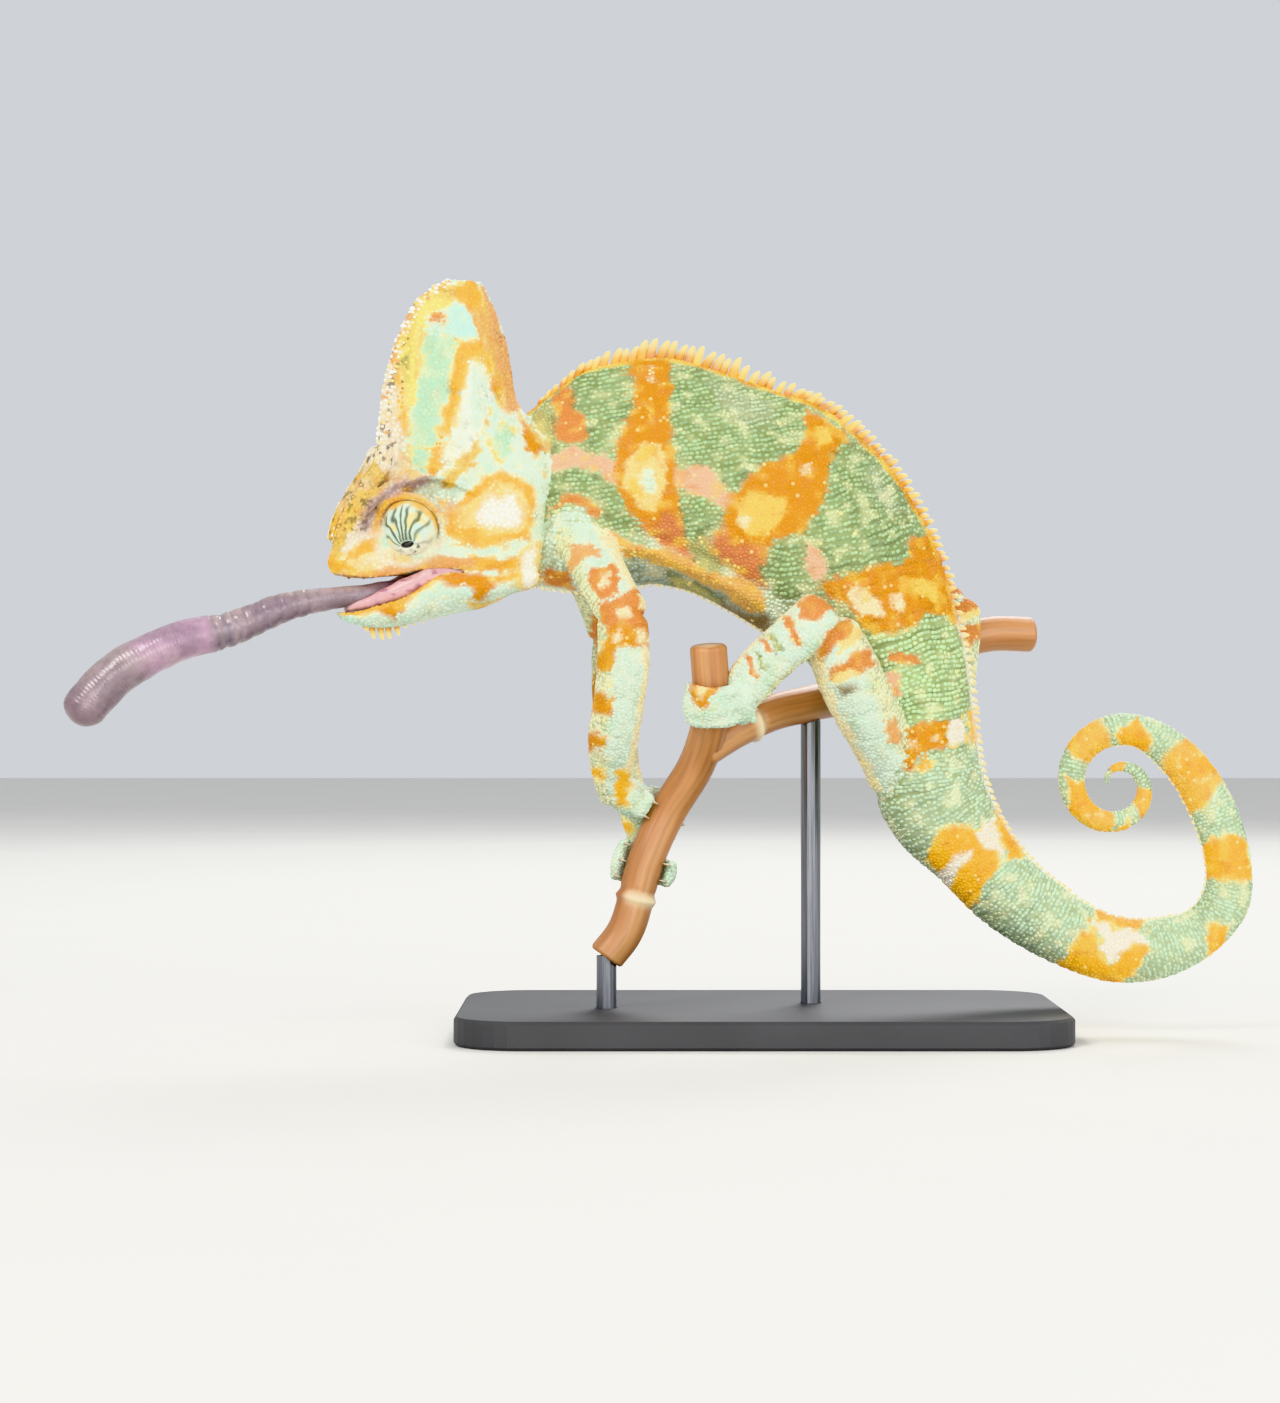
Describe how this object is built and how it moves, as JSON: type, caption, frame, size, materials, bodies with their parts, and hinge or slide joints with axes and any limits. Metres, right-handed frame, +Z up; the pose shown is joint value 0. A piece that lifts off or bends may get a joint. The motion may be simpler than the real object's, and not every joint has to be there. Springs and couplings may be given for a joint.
{
  "type": "veiled chameleon",
  "caption": "Life-size still model of an adult male veiled chameleon gripping cut cane perches on a display stand, mouth open and tongue out.",
  "frame": {"origin": "centre of the underside of the stand's base", "axes": "+Z up; the animal faces -X and its left side faces -Y"},
  "size_m": [0.294, 0.096, 0.1886],
  "materials": {
    "skin": "fine granular scales, satin, mint and green with orange and yellow bands",
    "head_skin": "flat plate-like scales, satin, yellow, mint and orange",
    "eye": "fused scaly lids with a small glossy dark pupil",
    "tongue": "moist, wrinkled, mauve-grey to pink",
    "cane": "peeled tan cane, smooth with fine lengthwise grain",
    "rod": "brushed",
    "base": "fine matt dark grey"
  },
  "bodies": {
    "root": {"head": "head_skin", "lower_jaw": "head_skin", "eye_left": "eye", "eye_right": "eye", "tongue_shaft": "tongue", "tongue_pad": "tongue", "neck": "skin", "torso_front": "skin", "torso_rear": "skin", "hips": "skin", "tail_base": "skin", "tail_middle": "skin", "tail_bend": "skin", "tail_curl": "skin", "tail_coil": "skin", "tail_tip": "skin", "upper_arm_left": "skin", "upper_arm_right": "skin", "forearm_left": "skin", "forearm_right": "skin", "thigh_left": "skin", "thigh_right": "skin", "shin_left": "skin", "shin_right": "skin", "forefoot_left": "skin", "forefoot_right": "skin", "hindfoot_left": "skin", "hindfoot_right": "skin", "perch_cane_front": "cane", "perch_cane_rear": "cane", "stand_base": "base", "stand_rod_front": "rod", "stand_rod_rear": "rod"}
  },
  "joints": []
}
